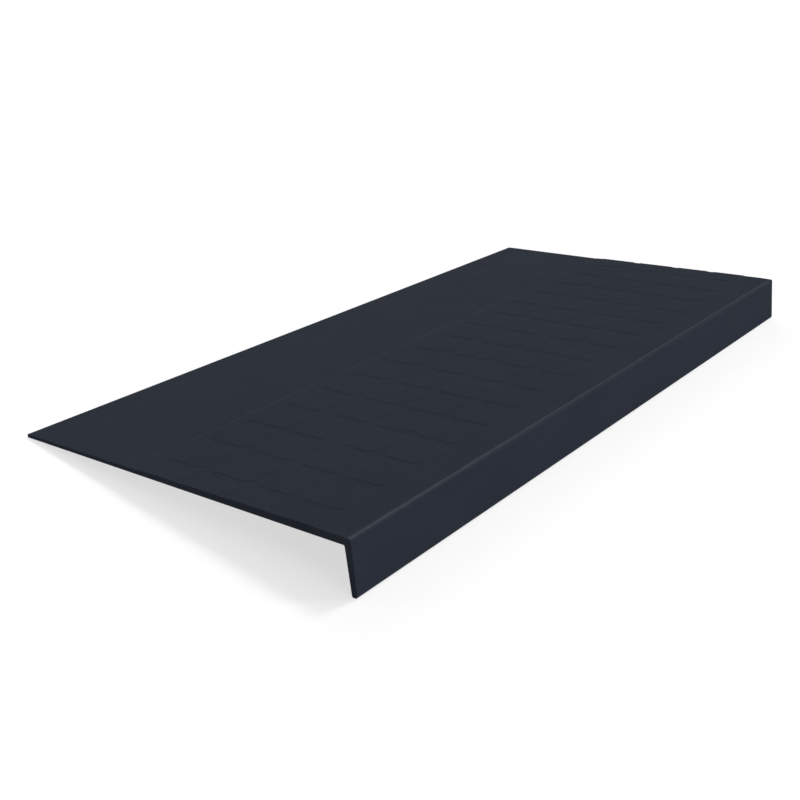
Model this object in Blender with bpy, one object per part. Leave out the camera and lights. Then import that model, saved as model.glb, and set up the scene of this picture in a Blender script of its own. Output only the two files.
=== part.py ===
"""Rubber stair tread with a square nose and four rows of low raised pads.

The tread is one moulded piece. A sheet thins from the nose to the back, and a flange hangs from the
nose, thins towards its rounded tip and leans a little outward. Low pads with round corners stand on
the sheet behind a plain front margin. Behind them a small step leads down to a plain strip. The piece
is a length cut from longer stock, so its two ends cut through the first and the last column of pads.

It lies as a loose tread lies on a level floor: on the tip of the flange and on the lower back edge.
Lengths are in metres. In the section, Y runs from the nose to the back and Z is up from the
underside of the sheet.
"""
import math

import bmesh
import bpy
from mathutils import Matrix, Vector

OBJECT_NAME = "rubber_stair_tread"

# Overall sizes
TREAD_LENGTH = 0.660
TREAD_DEPTH = 0.311

# Thickness of the sheet, from the nose to the back
NOSE_THICKNESS = 0.0057
FIELD_BACK_THICKNESS = 0.0035
STRIP_FRONT_THICKNESS = 0.0031
BACK_THICKNESS = 0.0026
BACK_EDGE_RADIUS = 0.0005

# Flange that hangs from the nose
FLANGE_DROP = 0.0338
FLANGE_ROOT_THICKNESS = 0.0053
FLANGE_TIP_THICKNESS = 0.0041
FLANGE_LEAN = 0.0024
FACE_BEND_DEPTH = 0.0015
FACE_BEND_RADIUS = 0.0200
NOSE_RADIUS = 0.0022
INNER_CORNER_RADIUS = 0.0010
TIP_OUTER_RADIUS = 0.0014
TIP_INNER_RADIUS = 0.0010

# Front margin, which falls a little towards the nose
MARGIN_DEPTH = 0.0240
MARGIN_FALL = 0.0004
MARGIN_CROWN_RADIUS = 0.3000

# Raised pads: square in the front rows, deeper than wide in the rear rows
FRONT_ROW_COUNT = 2
REAR_ROW_COUNT = 2
PAD_WIDTH = 0.0332
FRONT_PAD_DEPTH = 0.0332
REAR_PAD_DEPTH = 0.0380
COLUMN_GAP = 0.0074
ROW_GAP = 0.0060
PAD_RAISE = 0.0004
PAD_SLOPE_WIDTH = 0.0006
PAD_CORNER_RADIUS = 0.0065
PAD_RIM_WIDTH = 0.0003
PAD_ROOT_DEPTH = 0.0005
FIRST_ROW_SETBACK = 0.0290
FIRST_COLUMN_OFFSET = 0.0248

# Step down to the plain strip, behind the last row
STEP_SETBACK = 0.0071
STEP_SLOPE_WIDTH = 0.0006

# Round corners in straight pieces
CROWN_SEGMENTS = 6
NOSE_SEGMENTS = 12
CORNER_SEGMENTS = 6
PAD_CORNER_SEGMENTS = 4

COLUMN_PITCH = PAD_WIDTH + COLUMN_GAP
ROW_DEPTHS = [FRONT_PAD_DEPTH] * FRONT_ROW_COUNT + [REAR_PAD_DEPTH] * REAR_ROW_COUNT
FIELD_DEPTH = sum(ROW_DEPTHS) + (len(ROW_DEPTHS) - 1) * ROW_GAP
STEP_TOP_Y = FIRST_ROW_SETBACK + FIELD_DEPTH + STEP_SETBACK
FIELD_SLOPE = (NOSE_THICKNESS - FIELD_BACK_THICKNESS) / STEP_TOP_Y


def clear_scene():
    """Removes every object that the scene starts with."""
    for scene_object in list(bpy.data.objects):
        bpy.data.objects.remove(scene_object, do_unlink=True)


def make_collection(name):
    """Adds a collection to the scene."""
    collection = bpy.data.collections.new(name)
    bpy.context.scene.collection.children.link(collection)
    return collection


def rubber():
    """Matte black rubber with a blue cast."""
    material = bpy.data.materials.new("black_rubber")
    material.use_nodes = True
    shader = material.node_tree.nodes["Principled BSDF"]
    shader.inputs["Base Color"].default_value = (0.028, 0.032, 0.043, 1.0)
    shader.inputs["Roughness"].default_value = 0.6
    shader.inputs["Metallic"].default_value = 0.0
    return material


def field_height(y):
    """Height of the field under the pads at a distance from the nose."""
    return NOSE_THICKNESS - FIELD_SLOPE * y


def rounded_corner(before, corner, after, radius, segments):
    """Points of the arc that rounds a corner between its two neighbours.

    The arc touches both sides, so its ends lie radius / tan(half the corner's angle) from the
    corner, but never past the middle of a side.
    """
    if radius == 0.0:
        return [corner]
    to_before = (before - corner).normalized()
    to_after = (after - corner).normalized()
    half_angle = to_before.angle(to_after) / 2.0
    shorter_side = min((before - corner).length, (after - corner).length)
    reach = min(radius / math.tan(half_angle), 0.49 * shorter_side)
    fitted_radius = reach * math.tan(half_angle)
    inward = (to_before + to_after).normalized()
    centre = corner + inward * (fitted_radius / math.sin(half_angle))
    start = corner + to_before * reach - centre
    turn = start.angle_signed(corner + to_after * reach - centre)
    points = []
    for step in range(segments + 1):
        angle = -turn * step / segments
        cosine = math.cos(angle)
        sine = math.sin(angle)
        points.append(centre + Vector((start.x * cosine - start.y * sine,
                                       start.x * sine + start.y * cosine)))
    return points


def tread_section():
    """Closed section of the tread as (y, z) points, from the lower back edge round to the nose."""
    nose_z = NOSE_THICKNESS - MARGIN_FALL
    face_bend_z = nose_z - NOSE_RADIUS - FACE_BEND_DEPTH
    crown_y = MARGIN_DEPTH / 2.0
    corners = [
        (TREAD_DEPTH, 0.0, 0.0, 1),
        (TREAD_DEPTH, BACK_THICKNESS, BACK_EDGE_RADIUS, CORNER_SEGMENTS),
        (STEP_TOP_Y + STEP_SLOPE_WIDTH, STRIP_FRONT_THICKNESS, 0.0, 1),
        (STEP_TOP_Y, FIELD_BACK_THICKNESS, 0.0, 1),
        (crown_y, field_height(crown_y), MARGIN_CROWN_RADIUS, CROWN_SEGMENTS),
        (0.0, nose_z, NOSE_RADIUS, NOSE_SEGMENTS),
        (0.0, face_bend_z, FACE_BEND_RADIUS, CORNER_SEGMENTS),
        (-FLANGE_LEAN, -FLANGE_DROP, TIP_OUTER_RADIUS, CORNER_SEGMENTS),
        (FLANGE_TIP_THICKNESS - FLANGE_LEAN, -FLANGE_DROP, TIP_INNER_RADIUS, CORNER_SEGMENTS),
        (FLANGE_ROOT_THICKNESS, 0.0, INNER_CORNER_RADIUS, CORNER_SEGMENTS),
    ]
    places = [Vector((y, z)) for y, z, _, _ in corners]
    section = []
    for index, (_, _, radius, segments) in enumerate(corners):
        before = places[index - 1]
        after = places[(index + 1) % len(corners)]
        section += rounded_corner(before, places[index], after, radius, segments)
    return section


def resting_tilt(section):
    """Angle that brings the flange's tip and the lower back edge down to one level.

    Seen from the lower back edge, it is the steepest angle down to any point of the section.
    """
    back_edge = section[0]
    return max(math.atan2(back_edge.y - point.y, back_edge.x - point.x)
               for point in section if point.x < back_edge.x)


def section_turned(section, tilt):
    """The section's points after the nose is lifted by the tilt about the X axis."""
    cosine = math.cos(tilt)
    sine = math.sin(tilt)
    return [Vector((point.x * cosine + point.y * sine, point.y * cosine - point.x * sine))
            for point in section]


def resting_frame(collection, section):
    """Empty that carries the tread's own axes into the place where it rests.

    The middle of the tread's footprint comes to the origin and its lowest points to Z = 0.
    """
    tilt = resting_tilt(section)
    turned = section_turned(section, tilt)
    middle_y = (min(point.x for point in turned) + max(point.x for point in turned)) / 2.0
    lowest_z = min(point.y for point in turned)
    frame = bpy.data.objects.new("resting_frame", None)
    frame.location = (-TREAD_LENGTH / 2.0, -middle_y, -lowest_z)
    frame.rotation_euler = (-tilt, 0.0, 0.0)
    collection.objects.link(frame)
    return frame


def as_mesh(curve_object, name, collection):
    """Turns a curve object into a mesh object with welded caps, and removes the curve."""
    bpy.context.view_layer.update()
    depsgraph = bpy.context.evaluated_depsgraph_get()
    mesh = bpy.data.meshes.new_from_object(curve_object.evaluated_get(depsgraph))
    shape = bmesh.new()
    shape.from_mesh(mesh)
    bmesh.ops.remove_doubles(shape, verts=shape.verts, dist=1e-6)
    bmesh.ops.recalc_face_normals(shape, faces=shape.faces)
    shape.to_mesh(mesh)
    shape.free()
    mesh_object = bpy.data.objects.new(name, mesh)
    mesh_object.matrix_world = curve_object.matrix_world
    collection.objects.link(mesh_object)
    bpy.data.objects.remove(curve_object, do_unlink=True)
    return mesh_object


def extruded_stock(collection, section):
    """Uncut stock: the section carried along X, one pad pitch longer than the tread at each end."""
    curve = bpy.data.curves.new("section", "CURVE")
    curve.dimensions = "2D"
    curve.fill_mode = "BOTH"
    curve.extrude = TREAD_LENGTH / 2.0 + COLUMN_PITCH
    spline = curve.splines.new("POLY")
    spline.points.add(len(section) - 1)
    for spline_point, point in zip(spline.points, section):
        spline_point.co = (point.x, point.y, 0.0, 1.0)
    spline.use_cyclic_u = True
    stock = bpy.data.objects.new("section", curve)
    # The curve's X, Y and Z become the tread's Y, Z and X.
    across_to_along = Matrix(((0, 0, 1), (1, 0, 0), (0, 1, 0))).to_4x4()
    stock.matrix_world = Matrix.Translation((TREAD_LENGTH / 2.0, 0.0, 0.0)) @ across_to_along
    collection.objects.link(stock)
    return as_mesh(stock, OBJECT_NAME, collection)


def pad_mesh(pad_depth):
    """One pad: a block with round corners and sloping sides, sunk a little into the sheet.

    Its foot line at Z = 0 has the pad's full size. The sides keep their slope below it.
    """
    root_margin = PAD_ROOT_DEPTH * PAD_SLOPE_WIDTH / PAD_RAISE
    root_width = PAD_WIDTH + 2.0 * root_margin
    root_depth = pad_depth + 2.0 * root_margin
    shape = bmesh.new()
    bmesh.ops.create_cube(shape, size=1.0)
    bmesh.ops.scale(shape, vec=(root_width, root_depth, PAD_RAISE + PAD_ROOT_DEPTH), verts=shape.verts)
    bmesh.ops.translate(shape, vec=(0.0, 0.0, (PAD_RAISE - PAD_ROOT_DEPTH) / 2.0), verts=shape.verts)
    upright = [edge for edge in shape.edges if edge.verts[0].co.z * edge.verts[1].co.z < 0.0]
    bmesh.ops.bevel(shape, geom=upright, offset=PAD_CORNER_RADIUS, offset_type="OFFSET",
                    segments=PAD_CORNER_SEGMENTS, profile=0.5, affect="EDGES")
    top = [vertex for vertex in shape.verts if vertex.co.z > 0.0]
    width_share = (PAD_WIDTH - 2.0 * PAD_SLOPE_WIDTH) / root_width
    depth_share = (pad_depth - 2.0 * PAD_SLOPE_WIDTH) / root_depth
    bmesh.ops.scale(shape, vec=(width_share, depth_share, 1.0), verts=top)
    rim = [edge for edge in shape.edges if edge.verts[0] in top and edge.verts[1] in top]
    bmesh.ops.bevel(shape, geom=rim, offset=PAD_RIM_WIDTH, offset_type="OFFSET",
                    segments=1, profile=0.5, affect="EDGES")
    mesh = bpy.data.meshes.new("pad")
    shape.to_mesh(mesh)
    shape.free()
    return mesh


def column_centres():
    """Middle X of every column of pads, also of those that the ends of the tread cut through."""
    first_x = FIRST_COLUMN_OFFSET + PAD_WIDTH / 2.0 - COLUMN_PITCH
    column_count = math.ceil((TREAD_LENGTH - first_x + PAD_WIDTH / 2.0) / COLUMN_PITCH)
    return [first_x + column * COLUMN_PITCH for column in range(column_count)]


def pad_field(collection):
    """All pads in one object, row behind row, each laid on the slope of the field."""
    slope_turn = Matrix.Rotation(-math.atan(FIELD_SLOPE), 4, "X")
    shape = bmesh.new()
    row_front = FIRST_ROW_SETBACK
    for pad_depth in ROW_DEPTHS:
        pad = pad_mesh(pad_depth)
        y = row_front + pad_depth / 2.0
        for x in column_centres():
            shape.from_mesh(pad)
            new_vertices = shape.verts[-len(pad.vertices):]
            placed = Matrix.Translation((x, y, field_height(y))) @ slope_turn
            bmesh.ops.transform(shape, matrix=placed, verts=new_vertices)
        row_front += pad_depth + ROW_GAP
    mesh = bpy.data.meshes.new("pad_field")
    shape.to_mesh(mesh)
    shape.free()
    field = bpy.data.objects.new("pad_field", mesh)
    collection.objects.link(field)
    return field


def length_block(collection):
    """Block that keeps only the tread's own length of the stock."""
    block_depth = 2.0 * TREAD_DEPTH
    shape = bmesh.new()
    bmesh.ops.create_cube(shape, size=1.0)
    bmesh.ops.scale(shape, vec=(TREAD_LENGTH, block_depth, block_depth), verts=shape.verts)
    mesh = bpy.data.meshes.new("length_block")
    shape.to_mesh(mesh)
    shape.free()
    block = bpy.data.objects.new("length_block", mesh)
    block.location = (TREAD_LENGTH / 2.0, TREAD_DEPTH / 2.0, 0.0)
    collection.objects.link(block)
    return block


def add_boolean(target, tool, operation):
    """Adds a Boolean modifier, and hides its tool object from the picture."""
    modifier = target.modifiers.new(tool.name, "BOOLEAN")
    modifier.operation = operation
    modifier.object = tool
    modifier.solver = "EXACT"
    tool.hide_render = True
    tool.display_type = "WIRE"


def build():
    """Models the tread and lays it on the floor."""
    clear_scene()
    parts = make_collection("stair_tread")
    tools = make_collection("cutters")
    section = tread_section()
    frame = resting_frame(parts, section)
    tread = extruded_stock(parts, section)
    pads = pad_field(tools)
    block = length_block(tools)
    add_boolean(tread, pads, "UNION")
    add_boolean(tread, block, "INTERSECT")
    for piece in (tread, pads, block):
        piece.parent = frame
    tread.data.materials.clear()
    tread.data.materials.append(rubber())


build()
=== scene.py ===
"""Looks of a rubber stair tread: its fine moulded skin, its rubber finishes, a plain studio and the camera.

The tread is one moulded piece, so the scene has one piece as well. The skin is worked out with numpy
in the tread's own axes: X runs along the length, Y from the nose to the back, and Z up from the
underside of the sheet. It is then turned into the place where the tread rests on the floor.
"""

import logging
import math
from dataclasses import dataclass, field
from enum import Enum

import bmesh
import bpy
import numpy as np
from mathutils import Matrix, Vector


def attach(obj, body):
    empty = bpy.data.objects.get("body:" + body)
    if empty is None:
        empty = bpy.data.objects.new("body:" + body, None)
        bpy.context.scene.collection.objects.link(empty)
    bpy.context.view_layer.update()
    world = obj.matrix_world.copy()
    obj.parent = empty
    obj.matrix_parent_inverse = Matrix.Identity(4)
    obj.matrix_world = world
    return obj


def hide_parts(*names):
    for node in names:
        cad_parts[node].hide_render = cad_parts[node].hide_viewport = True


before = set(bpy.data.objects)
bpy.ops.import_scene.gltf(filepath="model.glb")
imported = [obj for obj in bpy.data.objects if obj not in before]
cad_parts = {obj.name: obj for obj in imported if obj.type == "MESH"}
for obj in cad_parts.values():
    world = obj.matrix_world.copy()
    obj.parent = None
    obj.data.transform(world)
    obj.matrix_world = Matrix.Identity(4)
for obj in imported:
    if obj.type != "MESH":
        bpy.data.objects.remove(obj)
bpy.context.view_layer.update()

CAD_NODE = "rubber_stair_tread"
BODY = "root"
POLISH = "polish"
FLOOR_NAME = "studio_floor"

# Points nearer to each other than this, in metres, count as one.
TOLERANCE = 1e-6
# An arc takes up less than half of a side, so that two arcs never meet on it.
LARGEST_REACH = 0.49
# A face looks along an axis where its normal's share of that axis is greater than this.
FACING = 0.5
# Most values of a noise lie between these two.
NOISE_LOW = 0.3
NOISE_HIGH = 0.7
# A lamp's rays are parallel, so its distance only keeps it clear of the tread.
LAMP_DISTANCE = 2.0

log = logging.getLogger("stair_tread")


class Surface(Enum):
    """The three kinds of surface that the tread shows, in the order of its material slots."""

    MOULDED = 0
    CUT = 1
    GROUND = 2


def unit(vectors: np.ndarray) -> np.ndarray:
    """Scales vectors to length one.

    Args:
        vectors: array whose last axis holds the components.

    Returns:
        An array of the same shape.
    """
    return vectors / np.linalg.norm(vectors, axis=-1, keepdims=True)


def rounded_corner(before: np.ndarray, corner: np.ndarray, after: np.ndarray,
                   radius: float, segments: int) -> np.ndarray:
    """Points of the arc that rounds a corner between its two neighbours.

    The arc touches both sides. Its ends lie radius / tan(half the corner's angle) from the corner,
    but always short of the middle of a side. Its points turn about the centre by equal steps.

    Args:
        before: the neighbour that comes first, as (y, z).
        corner: the corner itself.
        after: the neighbour that comes next.
        radius: radius of the arc, or zero for a sharp corner.
        segments: straight pieces that the arc is drawn with.

    Returns:
        Array of (segments + 1, 2), or (1, 2) for a sharp corner.
    """
    if radius == 0.0:
        return corner[None]
    to_before = unit(before - corner)
    to_after = unit(after - corner)
    half_angle = math.acos(float(np.clip(to_before @ to_after, -1.0, 1.0))) / 2.0
    shorter_side = min(np.linalg.norm(before - corner), np.linalg.norm(after - corner))
    reach = min(radius / math.tan(half_angle), LARGEST_REACH * shorter_side)
    fitted_radius = reach * math.tan(half_angle)
    centre = corner + unit(to_before + to_after) * fitted_radius / math.sin(half_angle)
    start = corner + to_before * reach - centre
    end = corner + to_after * reach - centre
    turn = math.atan2(start[0] * end[1] - start[1] * end[0], start @ end)
    angles = turn * np.linspace(0.0, 1.0, segments + 1)
    cosine, sine = np.cos(angles), np.sin(angles)
    turned = np.stack([start[0] * cosine - start[1] * sine, start[0] * sine + start[1] * cosine], axis=-1)
    return centre + turned


def filled_run(start: np.ndarray, end: np.ndarray, longest: float) -> np.ndarray:
    """Points spaced evenly on a straight run, without its two ends.

    Args:
        start: first end of the run.
        end: last end of the run.
        longest: greatest distance between two points.

    Returns:
        Array of (n, 2), empty where the run is short.
    """
    pieces = max(1, math.ceil(float(np.linalg.norm(end - start)) / longest))
    shares = np.arange(1, pieces)[:, None] / pieces
    return start + (end - start) * shares


@dataclass(frozen=True)
class Corner:
    """One corner of the section: its place, the radius that rounds it and how finely.

    The run is the greatest distance between two points from this corner to the next.
    """

    y: float
    z: float
    radius: float = 0.0
    segments: int = 1
    run: float = 0.0140

    def place(self) -> np.ndarray:
        """The corner as an array (y, z)."""
        return np.array([self.y, self.z])


@dataclass
class PadPattern:
    """Four rows of low pads. The ends of the tread cut through the first and the last column."""

    front_row_count: int = 2
    rear_row_count: int = 2
    pad_width: float = 0.0332
    front_pad_depth: float = 0.0332
    rear_pad_depth: float = 0.0380
    column_gap: float = 0.0074
    row_gap: float = 0.0060
    pad_raise: float = 0.0004
    slope_width: float = 0.0006
    fillet_width: float = 0.0003
    corner_radius: float = 0.0065
    first_row_setback: float = 0.0290
    first_column_offset: float = 0.0248
    corner_segments: int = 8
    side_segments: int = 6

    def row_depths(self) -> np.ndarray:
        """Depth of the pads of each row, from the nose to the back."""
        return np.array([self.front_pad_depth] * self.front_row_count
                        + [self.rear_pad_depth] * self.rear_row_count)

    def row_fronts(self) -> np.ndarray:
        """Y of the front foot line of each row: the depths and gaps before it, added up."""
        depths = self.row_depths()
        return self.first_row_setback + np.concatenate([[0.0], np.cumsum(depths + self.row_gap)[:-1]])

    def field_start(self) -> float:
        """Y where the cells of the first row begin, half a gap before its pads."""
        return self.first_row_setback - self.row_gap / 2.0

    def field_end(self) -> float:
        """Y where the cells of the last row end, half a gap behind its pads."""
        return float(self.row_fronts()[-1] + self.row_depths()[-1] + self.row_gap / 2.0)

    def column_centres(self, length: float) -> np.ndarray:
        """Middle X of every column, also of those that the ends of the tread cut through.

        Args:
            length: length of the tread.

        Returns:
            The centres, one pitch apart, in rising order.
        """
        pitch = self.pad_width + self.column_gap
        first = self.first_column_offset + self.pad_width / 2.0 - pitch
        count = math.ceil((length - first + self.pad_width / 2.0) / pitch)
        return first + pitch * np.arange(count)

    def slope_height(self, inset: np.ndarray) -> np.ndarray:
        """Height of a pad's side over the field.

        The side is a straight ramp as wide as the slope. A moving average as wide as the fillet
        rounds its foot and its rim, so the height is a difference of the ramp's integrals.

        Args:
            inset: distances inward from the foot line.

        Returns:
            Heights between zero and the pad's raise.
        """
        def ramp_integral(distance: np.ndarray) -> np.ndarray:
            """Integral of the ramp: a square law on the slope, then a straight line."""
            on_slope = np.clip(distance, 0.0, self.slope_width)
            return on_slope ** 2 / (2.0 * self.slope_width) + np.maximum(distance - self.slope_width, 0.0)

        half = self.fillet_width / 2.0
        share = (ramp_integral(inset + half) - ramp_integral(inset - half)) / self.fillet_width
        return self.pad_raise * share

    def round_template(self) -> dict[str, np.ndarray]:
        """Directions around one pad, anticlockwise from the front end of its right side.

        Every point belongs to a core rectangle, whose corners are the centres of the round corners.
        Along a side the core point slides and the direction stays. At a corner the core point stays
        and the direction turns by a quarter. The square direction goes round a square instead.

        Returns:
            Arrays of (n, 2): core, in shares of the core's half sizes, round_way and square_way.
        """
        sides = np.arange(self.side_segments) / self.side_segments
        turns = np.arange(self.corner_segments) / self.corner_segments
        side_core = np.stack([np.ones_like(sides), 2.0 * sides - 1.0], axis=-1)
        side_way = np.tile([1.0, 0.0], (len(sides), 1))
        corner_core = np.ones((len(turns), 2))
        angle = turns * math.pi / 2.0
        corner_way = np.stack([np.cos(angle), np.sin(angle)], axis=-1)
        square_way = np.stack([np.minimum(1.0, 2.0 - 2.0 * turns), np.minimum(1.0, 2.0 * turns)], axis=-1)
        quarter = {
            "core": np.concatenate([side_core, corner_core]),
            "round_way": np.concatenate([side_way, corner_way]),
            "square_way": np.concatenate([side_way, square_way]),
        }
        template = {}
        for name, values in quarter.items():
            parts = [values]
            for _ in range(3):
                last = parts[-1]
                parts.append(np.stack([-last[:, 1], last[:, 0]], axis=-1))
            template[name] = np.concatenate(parts)
        return template

    def side_polish(self, x: np.ndarray, y: np.ndarray, length: float) -> np.ndarray:
        """How polished the pads' sides are at the given places: one on a side, zero off it.

        The inset is the distance inward from the nearest pad's foot line. With d as the place's
        distance from the pad's centre along X and Y, less half of the core rectangle, it is the
        corner radius less the length of d's positive part, less the greater of the two if both
        are negative. The polish rises and falls over the width of the fillet.

        Args:
            x: places along the length.
            y: places from the nose to the back.
            length: length of the tread.

        Returns:
            Shares between zero and one.
        """
        depths = self.row_depths()
        centres_y = self.row_fronts() + depths / 2.0
        columns = self.column_centres(length)
        pitch = self.pad_width + self.column_gap
        column = np.clip(np.round((x - columns[0]) / pitch), 0, len(columns) - 1).astype(int)
        row = np.argmin(np.abs(y[:, None] - centres_y) - depths / 2.0, axis=1)
        beyond = np.stack([np.abs(x - columns[column]) - self.pad_width / 2.0,
                           np.abs(y - centres_y[row]) - depths[row] / 2.0], axis=-1) + self.corner_radius
        outside = np.linalg.norm(np.maximum(beyond, 0.0), axis=-1)
        inset = self.corner_radius - outside - np.minimum(beyond.max(axis=-1), 0.0)
        foot = np.clip((inset + self.fillet_width / 2.0) / self.fillet_width, 0.0, 1.0)
        rim = np.clip((self.slope_width + self.fillet_width - inset) / self.fillet_width, 0.0, 1.0)
        return foot * rim

    def column_lines(self, length: float) -> np.ndarray:
        """X of every point that the cells have on their front and back borders.

        Args:
            length: length of the tread.

        Returns:
            Rising X values, without repeats.
        """
        half_core = self.pad_width / 2.0 - self.corner_radius
        half_cell = (self.pad_width + self.column_gap) / 2.0
        side = half_core * (2.0 * np.arange(self.side_segments + 1) / self.side_segments - 1.0)
        corner_pieces = self.corner_segments // 2
        corner = half_core + (half_cell - half_core) * np.arange(1, corner_pieces) / corner_pieces
        one_cell = np.concatenate([[-half_cell], -corner[::-1], side, corner])
        centres = self.column_centres(length)
        lines = (centres[:, None] + one_cell[None]).ravel()
        return np.append(lines, centres[-1] + half_cell)


@dataclass
class TreadSection:
    """Section of the tread: a sheet that thins towards the back, and a flange that hangs at the nose."""

    depth: float = 0.311
    nose_thickness: float = 0.0057
    field_back_thickness: float = 0.0035
    strip_front_thickness: float = 0.0031
    back_thickness: float = 0.0026
    back_edge_radius: float = 0.0005
    flange_drop: float = 0.0338
    flange_root_thickness: float = 0.0053
    flange_tip_thickness: float = 0.0041
    flange_lean: float = 0.0024
    face_bend_depth: float = 0.0015
    face_bend_radius: float = 0.0200
    nose_radius: float = 0.0022
    inner_corner_radius: float = 0.0010
    tip_outer_radius: float = 0.0014
    tip_inner_radius: float = 0.0010
    margin_depth: float = 0.0240
    margin_fall: float = 0.0004
    margin_crown_radius: float = 0.3000
    step_setback: float = 0.0071
    step_slope_width: float = 0.0006
    step_top_radius: float = 0.0003
    step_foot_radius: float = 0.0004
    strip_start: float = 0.0010
    polished_run: float = 0.0007
    nose_segments: int = 12
    curve_segments: int = 6
    step_segments: int = 4

    def step_top(self, pads: PadPattern) -> float:
        """Y of the upper edge of the step behind the last row of pads."""
        return float(pads.row_fronts()[-1] + pads.row_depths()[-1] + self.step_setback)

    def field_height(self, y: np.ndarray, pads: PadPattern) -> np.ndarray:
        """Height of the field under the pads: a straight line from the nose to the step.

        Args:
            y: distances from the nose.
            pads: the pattern, which says where the step is.

        Returns:
            Heights over the underside of the sheet.
        """
        slope = (self.nose_thickness - self.field_back_thickness) / self.step_top(pads)
        return self.nose_thickness - slope * np.asarray(y)

    def corners(self, pads: PadPattern) -> list[Corner]:
        """The section's corners, from the front of the field round the nose and back to its end."""
        step_top = self.step_top(pads)
        crown_y = self.margin_depth / 2.0
        nose_z = self.nose_thickness - self.margin_fall
        inner_tip_y = self.flange_tip_thickness - self.flange_lean
        foot_y = step_top + self.step_slope_width
        strip_fall = (self.strip_front_thickness - self.back_thickness) / (self.depth - foot_y)
        strip_z = self.strip_front_thickness - strip_fall * self.strip_start
        return [
            Corner(pads.field_start(), float(self.field_height(pads.field_start(), pads))),
            Corner(crown_y, float(self.field_height(crown_y, pads)), self.margin_crown_radius,
                   self.curve_segments, self.polished_run),
            Corner(0.0, nose_z, self.nose_radius, self.nose_segments),
            Corner(0.0, nose_z - self.nose_radius - self.face_bend_depth, self.face_bend_radius,
                   self.curve_segments),
            Corner(-self.flange_lean, -self.flange_drop, self.tip_outer_radius, self.curve_segments),
            Corner(inner_tip_y, -self.flange_drop, self.tip_inner_radius, self.curve_segments),
            Corner(self.flange_root_thickness, 0.0, self.inner_corner_radius, self.curve_segments),
            Corner(self.depth, 0.0),
            Corner(self.depth, self.back_thickness, self.back_edge_radius, self.curve_segments),
            Corner(foot_y + self.strip_start, strip_z, run=self.polished_run / 2.0),
            Corner(foot_y, self.strip_front_thickness, self.step_foot_radius, self.step_segments),
            Corner(step_top, self.field_back_thickness, self.step_top_radius, self.step_segments,
                   self.polished_run / 2.0),
            Corner(pads.field_end(), float(self.field_height(pads.field_end(), pads))),
        ]

    def outline(self, pads: PadPattern) -> np.ndarray:
        """Open outline of the section, without the field under the pads.

        Args:
            pads: the pattern, whose field the outline leaves open.

        Returns:
            Points (n, 2) as (y, z), from the front of the field round the tread to its end.
        """
        corners = self.corners(pads)
        places = [corner.place() for corner in corners]
        arcs = [places[0][None]]
        for index in range(1, len(corners) - 1):
            corner = corners[index]
            arcs.append(rounded_corner(places[index - 1], places[index], places[index + 1],
                                       corner.radius, corner.segments))
        arcs.append(places[-1][None])
        pieces = [arcs[0]]
        for corner, last, arc in zip(corners, arcs[:-1], arcs[1:]):
            pieces.append(filled_run(last[-1], arc[0], corner.run))
            pieces.append(arc)
        return np.concatenate(pieces)


@dataclass
class RestingPlace:
    """Turn and shift that lay the tread on the floor, on its flange and on its lower back edge."""

    tilt: float
    shift: np.ndarray

    @classmethod
    def of_section(cls, outline: np.ndarray, depth: float, length: float) -> "RestingPlace":
        """Finds the place where the section comes to rest.

        Seen from the lower back edge, the tilt is the steepest angle down to any point. Then the
        middle of the footprint comes to the origin and the lowest points come to Z = 0.

        Args:
            outline: points (n, 2) of the section.
            depth: Y of the lower back edge.
            length: length of the tread.

        Returns:
            The resting place.
        """
        in_front = outline[outline[:, 0] < depth - TOLERANCE]
        tilt = float(np.max(np.arctan2(-in_front[:, 1], depth - in_front[:, 0])))
        turned_y = outline[:, 0] * math.cos(tilt) + outline[:, 1] * math.sin(tilt)
        turned_z = outline[:, 1] * math.cos(tilt) - outline[:, 0] * math.sin(tilt)
        shift = np.array([-length / 2.0, -(turned_y.min() + turned_y.max()) / 2.0, -turned_z.min()])
        return cls(tilt, shift)

    def take_back(self, points: np.ndarray) -> np.ndarray:
        """Carries points from the world back into the tread's own axes.

        Args:
            points: array whose last axis holds X, Y and Z.

        Returns:
            An array of the same shape.
        """
        return (points - self.shift) @ self.turn()

    def turn(self) -> np.ndarray:
        """The turn about X by minus the tilt, as a matrix."""
        cosine, sine = math.cos(self.tilt), math.sin(self.tilt)
        return np.array([[1.0, 0.0, 0.0], [0.0, cosine, sine], [0.0, -sine, cosine]])

    def apply(self, points: np.ndarray) -> np.ndarray:
        """Carries points from the tread's own axes into the world.

        Args:
            points: array whose last axis holds X, Y and Z.

        Returns:
            An array of the same shape.
        """
        return points @ self.turn().T + self.shift


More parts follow.
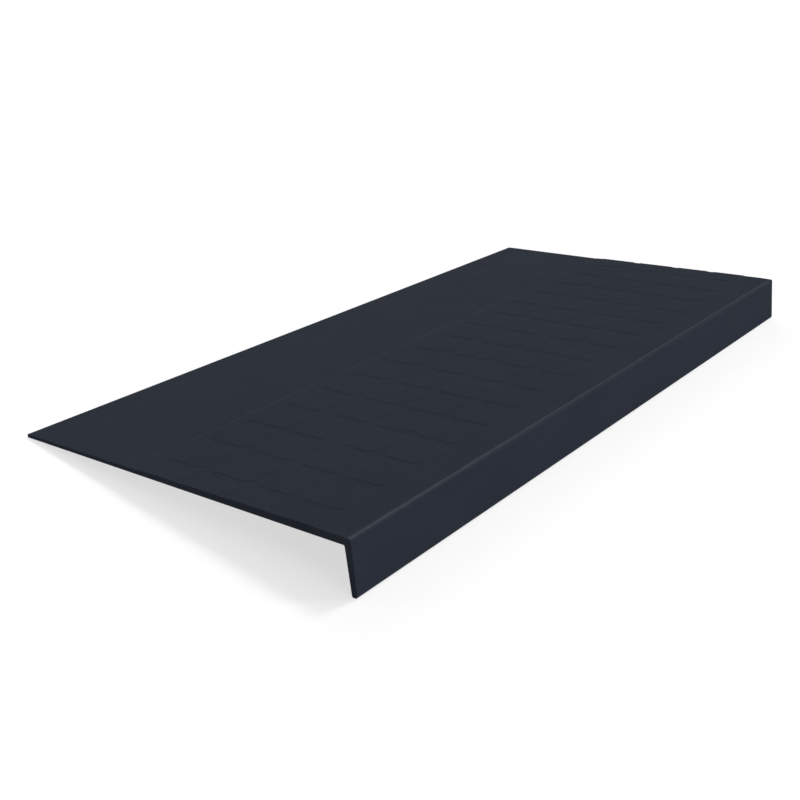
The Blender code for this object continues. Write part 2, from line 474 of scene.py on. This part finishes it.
class NodeGraph:
    """Short way to add shader nodes to a tree and to join them."""

    def __init__(self, tree: bpy.types.NodeTree) -> None:
        """Starts on an empty tree."""
        self.tree = tree
        tree.nodes.clear()

    def add(self, kind: str, inputs: dict | None = None, **settings: str) -> bpy.types.Node:
        """Adds one node.

        Args:
            kind: the node's type name.
            inputs: values or output sockets for its inputs, by name or number.
            **settings: the node's own properties.

        Returns:
            The node.
        """
        node = self.tree.nodes.new(kind)
        for name, value in settings.items():
            setattr(node, name, value)
        for name, value in (inputs or {}).items():
            if isinstance(value, bpy.types.NodeSocket):
                self.tree.links.new(value, node.inputs[name])
            else:
                node.inputs[name].default_value = value
        return node

    def math(self, operation: str, *values: bpy.types.NodeSocket | float) -> bpy.types.NodeSocket:
        """Adds a Math node on the given values and gives its output."""
        return self.add("ShaderNodeMath", dict(enumerate(values)), operation=operation).outputs[0]

    def spread(self, noise: bpy.types.NodeSocket, middle: float, reach: float) -> bpy.types.NodeSocket:
        """Spreads a noise evenly from the middle less the reach to the middle plus the reach.

        Args:
            noise: the noise's output.
            middle: value where the noise is at its middle.
            reach: greatest distance from that value, unless the noise leaves its usual range.

        Returns:
            The spread value.
        """
        return self.add("ShaderNodeMapRange", {
            "Value": noise, "From Min": NOISE_LOW, "From Max": NOISE_HIGH,
            "To Min": middle - reach, "To Max": middle + reach}).outputs[0]

    def seen(self) -> bpy.types.NodeSocket:
        """Tells the rays by which the picture, a gloss or a glass sees the surface from all others.

        Returns:
            One for those rays, and zero for the others.
        """
        rays = self.add("ShaderNodeLightPath").outputs
        camera_or_gloss = self.math("MAXIMUM", rays["Is Camera Ray"], rays["Is Glossy Ray"])
        return self.math("MAXIMUM", camera_or_gloss, rays["Is Transmission Ray"])


@dataclass(frozen=True)
class RubberFinish:
    """One finish of the rubber: its colour, its gloss and the marks in its surface."""

    name: str
    colour: tuple[float, float, float]
    roughness: float
    roughness_spread: float
    specular: float
    mottle: float
    grain_scale: float
    grain_height: float
    streak_scale: tuple[float, float, float]
    streak_height: float
    polished_roughness: float = 0.37
    mottle_scale: float = 22.0
    cloud_scale: float = 130.0

    def material(self) -> bpy.types.Material:
        """Builds the finish as nodes on the piece's own coordinates.

        A slow noise shades the colour, a middle one the roughness, which the polish of the surface
        lowers. The bump adds a fine grain and streaks, which are a noise stretched along one axis.

        Returns:
            The material.
        """
        material = bpy.data.materials.new(self.name)
        material.use_nodes = True
        graph = NodeGraph(material.node_tree)
        place = graph.add("ShaderNodeTexCoord").outputs["Object"]
        mottle = graph.add("ShaderNodeTexNoise", {"Vector": place, "Scale": self.mottle_scale,
                                                  "Detail": 3.0})
        shade = graph.spread(mottle.outputs[0], 1.0, self.mottle)
        tint = graph.add("ShaderNodeVectorMath", {0: self.colour, "Scale": shade}, operation="SCALE")
        cloud = graph.add("ShaderNodeTexNoise", {"Vector": place, "Scale": self.cloud_scale, "Detail": 4.0})
        gloss = graph.spread(cloud.outputs[0], self.roughness, self.roughness_spread)
        polish = graph.add("ShaderNodeAttribute", attribute_name=POLISH).outputs["Fac"]
        drop = graph.math("MULTIPLY", polish, self.roughness - self.polished_roughness)
        roughness = graph.math("SUBTRACT", gloss, drop)
        grain = graph.add("ShaderNodeTexNoise", {"Vector": place, "Scale": self.grain_scale, "Detail": 2.0})
        grain_bump = graph.add("ShaderNodeBump", {"Strength": 1.0, "Distance": self.grain_height,
                                                  "Height": grain.outputs[0]})
        stretched = graph.add("ShaderNodeMapping", {"Vector": place, "Scale": self.streak_scale})
        streaks = graph.add("ShaderNodeTexNoise", {"Vector": stretched.outputs[0], "Scale": 1.0,
                                                   "Detail": 2.0})
        streak_bump = graph.add("ShaderNodeBump", {"Strength": 1.0, "Distance": self.streak_height,
                                                   "Height": streaks.outputs[0],
                                                   "Normal": grain_bump.outputs[0]})
        shader = graph.add("ShaderNodeBsdfPrincipled", {"Base Color": tint.outputs[0],
                                                        "Roughness": roughness,
                                                        "Specular IOR Level": self.specular,
                                                        "Normal": streak_bump.outputs[0]})
        graph.add("ShaderNodeOutputMaterial", {"Surface": shader.outputs[0]})
        return material


MOULDED_RUBBER = RubberFinish(
    name="moulded_rubber", colour=(0.0183, 0.0229, 0.0337), roughness=0.92, roughness_spread=0.04,
    specular=0.05, mottle=0.04, grain_scale=2600.0, grain_height=0.00002,
    streak_scale=(40.0, 500.0, 500.0), streak_height=0.000006)

# The cut ends are a little darker than the moulded rubber. This darker tone is painted shade standing in
# for the dimmer light on the end faces. Their rougher, streaked knife-cut surface is real.
CUT_RUBBER_WITH_PAINTED_SHADE = RubberFinish(
    name="cut_rubber_with_painted_shade", colour=(0.0172, 0.0210, 0.0296), roughness=0.90, roughness_spread=0.06,
    specular=0.04, mottle=0.10, grain_scale=1800.0, grain_height=0.00005,
    streak_scale=(300.0, 1600.0, 120.0), streak_height=0.00006)

GROUND_RUBBER = RubberFinish(
    name="ground_rubber", colour=(0.0195, 0.0235, 0.0335), roughness=0.88, roughness_spread=0.05,
    specular=0.04, mottle=0.08, grain_scale=1500.0, grain_height=0.00005,
    streak_scale=(25.0, 900.0, 900.0), streak_height=0.00003)

FINISHES = {Surface.MOULDED: MOULDED_RUBBER, Surface.CUT: CUT_RUBBER_WITH_PAINTED_SHADE, Surface.GROUND: GROUND_RUBBER}


@dataclass
class StairTread:
    """The tread: one moulded skin, cut square at both ends."""

    length: float = 0.660
    section: TreadSection = field(default_factory=TreadSection)
    pads: PadPattern = field(default_factory=PadPattern)
    slope_ring_shares: tuple[float, ...] = (0.3, 0.5, 0.7)
    inner_ring_shares: tuple[float, ...] = (0.78, 0.48, 0.20)
    polish_behind: float = 0.0020
    polish_drop: float = 0.15
    edge_polish: float = 0.30
    rim_polish: float = 0.50
    rim_width: float = 0.0006
    smooth_angle: float = math.radians(35.0)
    ground_reach: float = 1e-5

    def carried_outline(self, outline: np.ndarray) -> tuple[np.ndarray, np.ndarray]:
        """Everything but the pads' field: the section's outline carried along X.

        A point of the surface is the outline's point at one of the cells' X values.

        Args:
            outline: points (n, 2) of the open section.

        Returns:
            Points (m, 3) and quads (k, 4) that face outward.
        """
        lines = self.pads.column_lines(self.length)
        along, around = len(lines), len(outline)
        points = np.empty((along, around, 3))
        points[:, :, 0] = lines[:, None]
        points[:, :, 1:] = outline[None]
        number = np.arange(along * around).reshape(along, around)
        quads = np.stack([number[:-1, :-1], number[:-1, 1:], number[1:, 1:], number[1:, :-1]], axis=-1)
        return points.reshape(-1, 3), quads.reshape(-1, 4)

    def ring_insets(self) -> np.ndarray:
        """Insets of the rings that draw a pad's side: over the foot's fillet, the slope and the rim's.

        Returns:
            Rising distances inward from the foot line.
        """
        half = self.pads.fillet_width / 2.0
        width = self.pads.slope_width
        return np.concatenate([[-half, -half / 4.0, half / 2.0], width * np.array(self.slope_ring_shares),
                               [width - half / 2.0, width + half / 4.0, width + half, width + 2.0 * half]])

    def pad_field(self) -> tuple[np.ndarray, np.ndarray, np.ndarray]:
        """The field with its pads, cell by cell.

        A cell is drawn on rings. Each point lies on a core rectangle plus a reach along a direction
        that turns round the corners. The first ring reaches the cell's square border, the second is
        halfway, the next ones are offsets of the foot line, and the last ones shrink to the centre.
        The height is that of the field plus the pad's side at the ring's inset.

        Returns:
            Points (m, 3), quads (k, 4) and triangles (j, 3), all facing up.
        """
        pads = self.pads
        template = pads.round_template()
        depths = pads.row_depths()
        columns = pads.column_centres(self.length)
        centres = np.stack(np.meshgrid(columns, pads.row_fronts() + depths / 2.0, indexing="ij"), axis=-1)
        centres = centres.reshape(-1, 1, 2)
        half_pad = np.stack([np.full(len(depths), pads.pad_width / 2.0), depths / 2.0], axis=-1)
        half_pad = np.tile(half_pad, (len(columns), 1))[:, None]
        half_core = half_pad - pads.corner_radius
        half_cell = half_pad + np.array([pads.column_gap, pads.row_gap]) / 2.0
        core = template["core"][None] * half_core
        border = core + template["square_way"][None] * (half_cell - half_core)
        insets = self.ring_insets()
        sides = [core + template["round_way"][None] * (pads.corner_radius - inset) for inset in insets]
        rings = [border, (border + sides[0]) / 2.0] + sides
        rings += [sides[-1] * share for share in self.inner_ring_shares]
        raises = np.concatenate([[0.0, 0.0], pads.slope_height(insets),
                                 np.full(len(self.inner_ring_shares), pads.pad_raise)])
        flat = np.stack(rings, axis=1) + centres[:, None]
        cells, ring_count, around = flat.shape[:3]
        height = self.section.field_height(flat[..., 1], pads) + raises[None, :, None]
        ring_points = np.concatenate([flat, height[..., None]], axis=-1).reshape(cells, -1, 3)
        middle_height = self.section.field_height(centres[..., 1:], pads) + pads.pad_raise
        middles = np.concatenate([centres, middle_height], axis=-1)
        points = np.concatenate([ring_points, middles], axis=1)
        number = np.arange(cells)[:, None, None] * points.shape[1]
        number = number + np.arange(ring_count * around).reshape(1, ring_count, around)
        following = np.roll(number, -1, axis=2)
        quads = np.stack([number[:, :-1], following[:, :-1], following[:, 1:], number[:, 1:]], axis=-1)
        middle_number = np.arange(cells)[:, None] * points.shape[1] + ring_count * around
        middle_number = np.broadcast_to(middle_number, (cells, around))
        fans = np.stack([number[:, -1], following[:, -1], middle_number], axis=-1)
        return points.reshape(-1, 3), quads.reshape(-1, 4), fans.reshape(-1, 3)

    def cut_end(self, shape: bmesh.types.BMesh, side: int) -> None:
        """Cuts the stock square at one end and closes it with a cut face.

        Args:
            shape: the skin of the stock.
            side: -1 for the end at negative X, 1 for the other.
        """
        everything = list(shape.verts) + list(shape.edges) + list(shape.faces)
        cut = bmesh.ops.bisect_plane(shape, geom=everything, dist=TOLERANCE,
                                     plane_co=(side * self.length / 2.0, 0.0, 0.0),
                                     plane_no=(side, 0.0, 0.0), clear_outer=True)
        rim = [item for item in cut["geom_cut"] if isinstance(item, bmesh.types.BMEdge)]
        closed = bmesh.ops.edgeloop_fill(shape, edges=rim, mat_nr=Surface.CUT.value)
        bmesh.ops.triangulate(shape, faces=closed["faces"], ngon_method="EAR_CLIP")

    def mark_ground_faces(self, mesh: bpy.types.Mesh, place: RestingPlace) -> None:
        """Gives the underside of the sheet and the inner side of the flange their own finish.

        They are the moulded faces that look down or back, and whose middle lies behind the flange's
        outer side and no higher than the sheet's lower plane.

        Args:
            mesh: the finished skin.
            place: the resting place, which is taken back.
        """
        count = len(mesh.polygons)
        middles, normals = np.empty(count * 3), np.empty(count * 3)
        slots = np.empty(count, dtype=np.int32)
        mesh.polygons.foreach_get("center", middles)
        mesh.polygons.foreach_get("normal", normals)
        mesh.polygons.foreach_get("material_index", slots)
        middles = place.take_back(middles.reshape(-1, 3))
        normals = normals.reshape(-1, 3) @ place.turn()
        looks_inward = (normals[:, 2] < -FACING) | (normals[:, 1] > FACING)
        hidden = looks_inward & (middles[:, 2] < self.ground_reach) & (middles[:, 1] > 0.0)
        slots[hidden & (slots == Surface.MOULDED.value)] = Surface.GROUND.value
        mesh.polygons.foreach_set("material_index", slots)

    def mark_polish(self, mesh: bpy.types.Mesh, place: RestingPlace) -> None:
        """Stores how polished each point is: one on the nose, the pads' sides and the step.

        The nose's polish fades as a smooth step, 3 t t - 2 t t t, behind its arc and again down its
        arc. The sides of the pads take theirs from their insets, and the step is polished on its
        slope and on a narrow rim in front of it.

        Args:
            mesh: the finished skin.
            place: the resting place, which is taken back.
        """
        count = len(mesh.vertices)
        points = np.empty(count * 3)
        mesh.vertices.foreach_get("co", points)
        x, y, z = place.take_back(points.reshape(-1, 3)).T
        x = x + (self.length / 2.0 + place.shift[0])
        radius = self.section.nose_radius
        nose_top = self.section.nose_thickness - self.section.margin_fall
        back = np.clip((y - radius) / self.polish_behind, 0.0, 1.0)
        down = np.clip((nose_top - radius * self.polish_drop - z) / radius, 0.0, 1.0)
        behind, below = (1.0 - 3.0 * share ** 2 + 2.0 * share ** 3 for share in (back, down))
        past_step = y - self.section.step_top(self.pads)
        fade = self.pads.fillet_width
        step = np.clip((past_step + self.rim_width + fade) / fade, 0.0, 1.0)
        step = step * np.clip((self.section.step_slope_width + fade - past_step) / fade, 0.0, 1.0)
        sides = np.maximum(self.edge_polish * self.pads.side_polish(x, y, self.length),
                           self.rim_polish * step)
        on_top = z > self.section.back_thickness
        layer = mesh.attributes.new(POLISH, "FLOAT", "POINT")
        layer.data.foreach_set("value", np.maximum(behind * below, sides * on_top))

    def build(self) -> bpy.types.Object:
        """Makes the skin as one closed mesh that lies where the tread rests.

        Returns:
            The new object, at the origin.
        """
        outline = self.section.outline(self.pads)
        place = RestingPlace.of_section(outline, self.section.depth, self.length)
        shell_points, shell_quads = self.carried_outline(outline)
        field_points, field_quads, field_fans = self.pad_field()
        points = place.apply(np.concatenate([shell_points, field_points]))
        offset = len(shell_points)
        faces = shell_quads.tolist() + (field_quads + offset).tolist() + (field_fans + offset).tolist()
        mesh = bpy.data.meshes.new("tread_skin")
        mesh.from_pydata(points.tolist(), [], faces)
        shape = bmesh.new()
        shape.from_mesh(mesh)
        bmesh.ops.remove_doubles(shape, verts=shape.verts, dist=TOLERANCE)
        self.cut_end(shape, -1)
        self.cut_end(shape, 1)
        shape.normal_update()
        open_edges = sum(1 for edge in shape.edges if not edge.is_manifold)
        log.info("tread skin: %d faces, %d open edges, volume %.1f cm3, tilt %.3f degrees",
                 len(shape.faces), open_edges, shape.calc_volume(signed=True) * 1e6,
                 math.degrees(place.tilt))
        shape.to_mesh(mesh)
        shape.free()
        self.mark_ground_faces(mesh, place)
        self.mark_polish(mesh, place)
        mesh.shade_smooth()
        mesh.set_sharp_from_angle(angle=self.smooth_angle)
        skin = bpy.data.objects.new("tread_skin", mesh)
        bpy.context.scene.collection.objects.link(skin)
        return skin

    def dress(self, skin: bpy.types.Object) -> None:
        """Gives the skin its finishes, in the order of their slots.

        Args:
            skin: the skin's object.
        """
        for surface in Surface:
            skin.data.materials.append(FINISHES[surface].material())

    def place(self) -> bpy.types.Object:
        """Builds and dresses the tread, and puts it in the place of the plain solid.

        Returns:
            The finished piece.
        """
        skin = self.build()
        self.dress(skin)
        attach(skin, BODY)
        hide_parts(CAD_NODE)
        log.info("placed %s on body %s", skin.name, BODY)
        return skin


@dataclass(frozen=True)
class SoftLamp:
    """A broad lamp, so far away that it lights the whole tread alike."""

    name: str
    azimuth: float
    elevation: float
    level: float
    spread: float

    def build(self) -> None:
        """Adds the lamp.

        Azimuth and elevation, in degrees, say where the light comes from. The level is what a white
        surface that faces the lamp gives back, and a sun of strength pi gives back one.
        """
        light = bpy.data.lights.new(self.name, "SUN")
        light.energy = self.level * math.pi
        light.angle = math.radians(self.spread)
        lamp = bpy.data.objects.new(self.name, light)
        azimuth, elevation = math.radians(self.azimuth), math.radians(self.elevation)
        towards = Vector((math.cos(elevation) * math.cos(azimuth),
                          math.cos(elevation) * math.sin(azimuth), math.sin(elevation)))
        lamp.rotation_euler = towards.to_track_quat("Z", "Y").to_euler()
        lamp.location = towards * LAMP_DISTANCE
        bpy.context.scene.collection.objects.link(lamp)


@dataclass
class Studio:
    """A white floor and soft light at a plain level."""

    floor_half_size: float = 15.0
    floor_bounce: float = 0.85
    floor_seen: float = 0.98
    shadow_lift: float = 0.65
    sky_stops: tuple[tuple[float, float], ...] = (
        (1.5, 1.00), (10.0, 0.18), (45.0, 0.18), (60.0, 0.40), (90.0, 1.00))
    lamps: tuple[SoftLamp, ...] = (
        SoftLamp("right_lamp", 0.0, 53.0, 0.48, 14.0),
        SoftLamp("back_lamp", 115.0, 32.0, 0.05, 14.0),
        SoftLamp("low_back_lamp", 60.0, 28.0, 0.21, 30.0),
        SoftLamp("rim_lamp", 36.0, 34.0, 0.08, 10.0),
        SoftLamp("front_right_lamp", -40.0, 40.0, 0.20, 12.0),
        SoftLamp("front_lamp", -102.0, 8.0, 0.44, 20.0),
    )

    def build_sky(self) -> None:
        """Gives the world a soft light that changes only with the height over the horizon.

        The sky is white just over the horizon, where it meets the floor, dimmer above that, and
        brighter again overhead. A colour ramp runs over the sine of the height.
        """
        world = bpy.data.worlds.new("soft_sky")
        world.use_nodes = True
        graph = NodeGraph(world.node_tree)
        way = graph.add("ShaderNodeTexCoord").outputs["Generated"]
        height = graph.add("ShaderNodeSeparateXYZ", {"Vector": way}).outputs["Z"]
        ramp = graph.add("ShaderNodeValToRGB", {"Fac": height})
        stops = ramp.color_ramp.elements
        stops.remove(stops[1])
        for number, (angle, level) in enumerate(self.sky_stops):
            position = math.sin(math.radians(angle))
            stop = stops.new(position) if number else stops[0]
            stop.position = position
            stop.color = (level, level, level, 1.0)
        light = graph.add("ShaderNodeBackground", {"Color": ramp.outputs[0], "Strength": 1.0})
        graph.add("ShaderNodeOutputWorld", {"Surface": light.outputs[0]})
        bpy.context.scene.world = world

    def floor_material(self) -> bpy.types.Material:
        """White floor that keeps the tread's shadow, but softens it in the picture.

        Rays that the picture, a gloss or a glass sees get a share of plain white. All other rays
        see the bare floor, so the white adds no light to the tread.

        Returns:
            The material.
        """
        material = bpy.data.materials.new(FLOOR_NAME)
        material.use_nodes = True
        graph = NodeGraph(material.node_tree)
        seen = graph.seen()
        span = self.floor_seen - self.floor_bounce
        grey = graph.math("MULTIPLY_ADD", seen, span, self.floor_bounce)
        matte = graph.add("ShaderNodeBsdfDiffuse", {"Color": grey})
        white = graph.add("ShaderNodeEmission", {"Color": (1.0, 1.0, 1.0, 1.0), "Strength": 1.0})
        share = graph.math("MULTIPLY", seen, self.shadow_lift)
        mixed = graph.add("ShaderNodeMixShader", {0: share, 1: matte.outputs[0], 2: white.outputs[0]})
        graph.add("ShaderNodeOutputMaterial", {"Surface": mixed.outputs[0]})
        return material

    def build_floor(self) -> None:
        """Lays the floor at Z = 0 as one large square."""
        half = self.floor_half_size
        mesh = bpy.data.meshes.new(FLOOR_NAME)
        mesh.from_pydata([(-half, -half, 0.0), (half, -half, 0.0), (half, half, 0.0), (-half, half, 0.0)],
                         [], [(0, 1, 2, 3)])
        floor = bpy.data.objects.new(FLOOR_NAME, mesh)
        floor.data.materials.append(self.floor_material())
        bpy.context.scene.collection.objects.link(floor)

    def build(self) -> None:
        """Builds the sky, the floor and the lamps."""
        self.build_sky()
        self.build_floor()
        for lamp in self.lamps:
            lamp.build()
        bpy.context.scene.view_settings.view_transform = "Standard"
        log.info("studio: floor, sky and %d lamps", len(self.lamps))


@dataclass(frozen=True)
class PhotoCamera:
    """The camera of the photograph, found by fitting the tread's outline to it."""

    location: tuple[float, float, float] = (-0.78208, -0.51246, 0.39592)
    azimuth: float = 36.218
    elevation: float = -24.697
    roll: float = 3.008
    lens: float = 52.112
    sensor: float = 36.0

    def build(self) -> None:
        """Adds the camera: it looks along azimuth and elevation, then rolls about that line."""
        angles = (self.azimuth, self.elevation, self.roll)
        azimuth, elevation, roll = (math.radians(angle) for angle in angles)
        forward = Vector((math.cos(elevation) * math.cos(azimuth),
                          math.cos(elevation) * math.sin(azimuth), math.sin(elevation)))
        level_right = forward.cross(Vector((0.0, 0.0, 1.0))).normalized()
        level_up = level_right.cross(forward)
        right = level_right * math.cos(roll) + level_up * math.sin(roll)
        up = level_up * math.cos(roll) - level_right * math.sin(roll)
        turn = Matrix((right, up, -forward)).transposed()
        data = bpy.data.cameras.new("photo_camera")
        data.sensor_width = self.sensor
        data.sensor_fit = "HORIZONTAL"
        data.lens = self.lens
        data.clip_start = 0.05
        camera = bpy.data.objects.new("photo_camera", data)
        camera.matrix_world = Matrix.Translation(self.location) @ turn.to_4x4()
        bpy.context.scene.collection.objects.link(camera)
        bpy.context.scene.camera = camera


def main() -> None:
    """Builds the tread, the studio and the camera."""
    logging.basicConfig(level=logging.INFO, format="%(message)s")
    StairTread().place()
    Studio().build()
    PhotoCamera().build()


if __name__ == "__main__":
    main()
